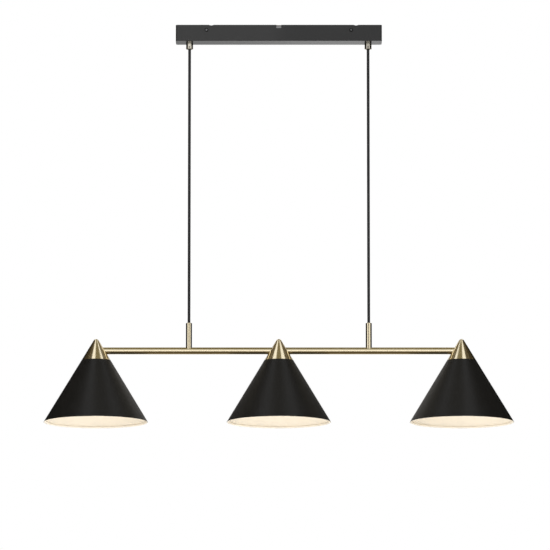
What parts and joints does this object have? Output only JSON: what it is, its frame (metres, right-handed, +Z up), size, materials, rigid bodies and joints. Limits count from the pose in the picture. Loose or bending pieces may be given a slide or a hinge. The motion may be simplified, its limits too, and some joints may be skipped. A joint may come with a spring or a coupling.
{
  "type": "pendant lamp",
  "caption": "Long pendant lamp: black cone shades with brass tips on a brass bar, hung by straight cables from a shallow box canopy.",
  "frame": {"origin": "on the ceiling plane, at the middle of the ceiling bracket's top face", "axes": "+X along the bar, +Y from front to back, +Z up"},
  "size_m": [1.002, 0.222, 0.8575],
  "materials": {
    "dark_steel": "satin dark grey paint",
    "shade_paint": "satin black outside, warm white inside",
    "satin_brass": "satin, lightly brushed",
    "pale_brass": "satin, pale",
    "zinc_steel": "zinc plated",
    "screw_steel": "blackened",
    "cable_sheath": "matt black sheath",
    "copper_core": "bare stranded core",
    "terminal_white": "moulded, translucent white",
    "lead_brown": "smooth insulation",
    "lead_blue": "smooth insulation",
    "lead_green": "smooth insulation, green and yellow",
    "holder_black": "moulded black",
    "holder_ceramic": "unglazed white",
    "bulb_cap_metal": "plain",
    "bulb_opal": "opal white, lit warm"
  },
  "bodies": {
    "ceiling_unit": {"ceiling_bracket": "zinc_steel", "canopy": "dark_steel", "canopy_screws": "screw_steel", "grip_grub_screws": "screw_steel", "grip_washers": "zinc_steel", "grip_lock_nuts": "zinc_steel", "terminal_block": "terminal_white", "terminal_screws": "zinc_steel", "earth_screws": "pale_brass", "live_leads": "lead_brown", "neutral_leads": "lead_blue", "earth_leads": "lead_green", "left_cord_grip": "pale_brass", "left_cable_tail": "cable_sheath", "right_cord_grip": "pale_brass", "right_cable_tail": "cable_sheath"},
    "cable_necks": {"left_cable_neck": "copper_core", "right_cable_neck": "copper_core"},
    "left_cable": {"left_cable": "cable_sheath"},
    "right_cable": {"right_cable": "cable_sheath"},
    "cable_feet": {"left_cable_foot": "copper_core", "right_cable_foot": "copper_core"},
    "bar_unit": {"bar": "satin_brass", "bar_leads": "lead_brown", "drop_leads": "lead_blue", "cable_stops": "pale_brass", "shade_washers": "zinc_steel", "left_stem": "satin_brass", "left_stem_tail": "cable_sheath", "right_stem": "satin_brass", "right_stem_tail": "cable_sheath", "left_cap": "satin_brass", "left_nipple": "zinc_steel", "left_shade": "shade_paint", "left_holder_cap": "holder_black", "left_holder_body": "holder_black", "left_holder_core": "holder_ceramic", "middle_cap": "satin_brass", "middle_nipple": "zinc_steel", "middle_shade": "shade_paint", "middle_holder_cap": "holder_black", "middle_holder_body": "holder_black", "middle_holder_core": "holder_ceramic", "right_cap": "satin_brass", "right_nipple": "zinc_steel", "right_shade": "shade_paint", "right_holder_cap": "holder_black", "right_holder_body": "holder_black", "right_holder_core": "holder_ceramic"},
    "left_bulb": {"left_bulb_cap": "bulb_cap_metal", "left_bulb_glass": "bulb_opal"},
    "middle_bulb": {"middle_bulb_cap": "bulb_cap_metal", "middle_bulb_glass": "bulb_opal"},
    "right_bulb": {"right_bulb_cap": "bulb_cap_metal", "right_bulb_glass": "bulb_opal"}
  },
  "joints": [
    {"name": "fore_aft_swing", "type": "hinge", "parent": "ceiling_unit", "child": "cable_necks", "pos_m": [0, 0, -0.0479], "axis": [1, 0, 0], "range_deg": [-25, 25]},
    {"name": "left_cable_sway", "type": "hinge", "parent": "cable_necks", "child": "left_cable", "pos_m": [-0.192, 0, -0.0479], "axis": [0, 1, 0], "range_deg": [-20, 20]},
    {"name": "right_cable_sway", "type": "hinge", "parent": "cable_necks", "child": "right_cable", "pos_m": [0.192, 0, -0.0479], "axis": [0, 1, 0], "range_deg": [-20, 20]},
    {"name": "bar_levelling", "type": "hinge", "parent": "left_cable", "child": "cable_feet", "pos_m": [-0.192, 0, -0.6456], "axis": [0, 1, 0], "range_deg": [-20, 20]},
    {"name": "bar_rock", "type": "hinge", "parent": "cable_feet", "child": "bar_unit", "pos_m": [0, 0, -0.6456], "axis": [1, 0, 0], "range_deg": [-20, 20]},
    {"name": "left_bulb_turn", "type": "hinge", "parent": "bar_unit", "child": "left_bulb", "pos_m": [-0.39, 0, -0.77], "axis": [0, 0, -1], "range_deg": [0, 1080]},
    {"name": "middle_bulb_turn", "type": "hinge", "parent": "bar_unit", "child": "middle_bulb", "pos_m": [0, 0, -0.77], "axis": [0, 0, -1], "range_deg": [0, 1080]},
    {"name": "right_bulb_turn", "type": "hinge", "parent": "bar_unit", "child": "right_bulb", "pos_m": [0.39, 0, -0.77], "axis": [0, 0, -1], "range_deg": [0, 1080]}
  ],
  "couplings": [
    {"joint": "right_cable_sway", "follows": "left_cable_sway", "ratio": 1},
    {"joint": "bar_levelling", "follows": "left_cable_sway", "ratio": -1}
  ]
}
